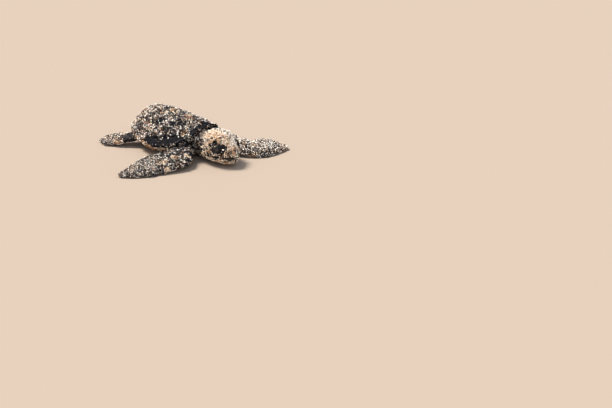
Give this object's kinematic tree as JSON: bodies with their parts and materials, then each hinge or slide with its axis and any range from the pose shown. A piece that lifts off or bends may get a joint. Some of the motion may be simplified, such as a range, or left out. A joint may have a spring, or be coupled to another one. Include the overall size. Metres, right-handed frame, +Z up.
{
  "type": "loggerhead turtle hatchling",
  "caption": "Life-size still model of a loggerhead turtle hatchling crawling, coated in grains of sand, with flippers spread and belly on the floor.",
  "frame": {"origin": "middle of the plastron's flat rest face, on the floor", "axes": "-Y the way the animal faces, +X its left, +Z up"},
  "size_m": [0.0817, 0.0774, 0.0198],
  "materials": {
    "shell": "dark brown-grey keratin plates under stuck sand",
    "plastron": "tan keratin plates, darker on their keels",
    "hide": "charcoal scaly skin under stuck sand",
    "eye": "wet black",
    "horn": "dark satin horn"
  },
  "bodies": {
    "root": {"beak_lower": "horn", "beak_upper": "horn", "carapace_costal_left_1": "shell", "carapace_costal_left_2": "shell", "carapace_costal_left_3": "shell", "carapace_costal_left_4": "shell", "carapace_costal_left_5": "shell", "carapace_costal_right_1": "shell", "carapace_costal_right_2": "shell", "carapace_costal_right_3": "shell", "carapace_costal_right_4": "shell", "carapace_costal_right_5": "shell", "carapace_nuchal": "shell", "carapace_rim_left": "shell", "carapace_rim_right": "shell", "carapace_supracaudal": "shell", "carapace_vertebral_1": "shell", "carapace_vertebral_2": "shell", "carapace_vertebral_3": "shell", "carapace_vertebral_4": "shell", "carapace_vertebral_5": "shell", "claw_front_left_1": "horn", "claw_front_left_2": "horn", "claw_front_right_1": "horn", "claw_front_right_2": "horn", "claw_hind_left_1": "horn", "claw_hind_left_2": "horn", "claw_hind_right_1": "horn", "claw_hind_right_2": "horn", "eye_left": "eye", "eye_right": "eye", "flipper_front_left_arm": "hide", "flipper_front_left_blade": "hide", "flipper_front_right_arm": "hide", "flipper_front_right_blade": "hide", "flipper_hind_left_paddle": "hide", "flipper_hind_left_thigh": "hide", "flipper_hind_right_paddle": "hide", "flipper_hind_right_thigh": "hide", "head": "hide", "lower_jaw": "hide", "neck": "hide", "plastron_abdominal": "plastron", "plastron_anal": "plastron", "plastron_bridge_left": "plastron", "plastron_bridge_right": "plastron", "plastron_femoral": "plastron", "plastron_gular": "plastron", "plastron_humeral": "plastron", "plastron_pectoral": "plastron", "tail": "hide", "trunk": "hide"}
  },
  "joints": []
}
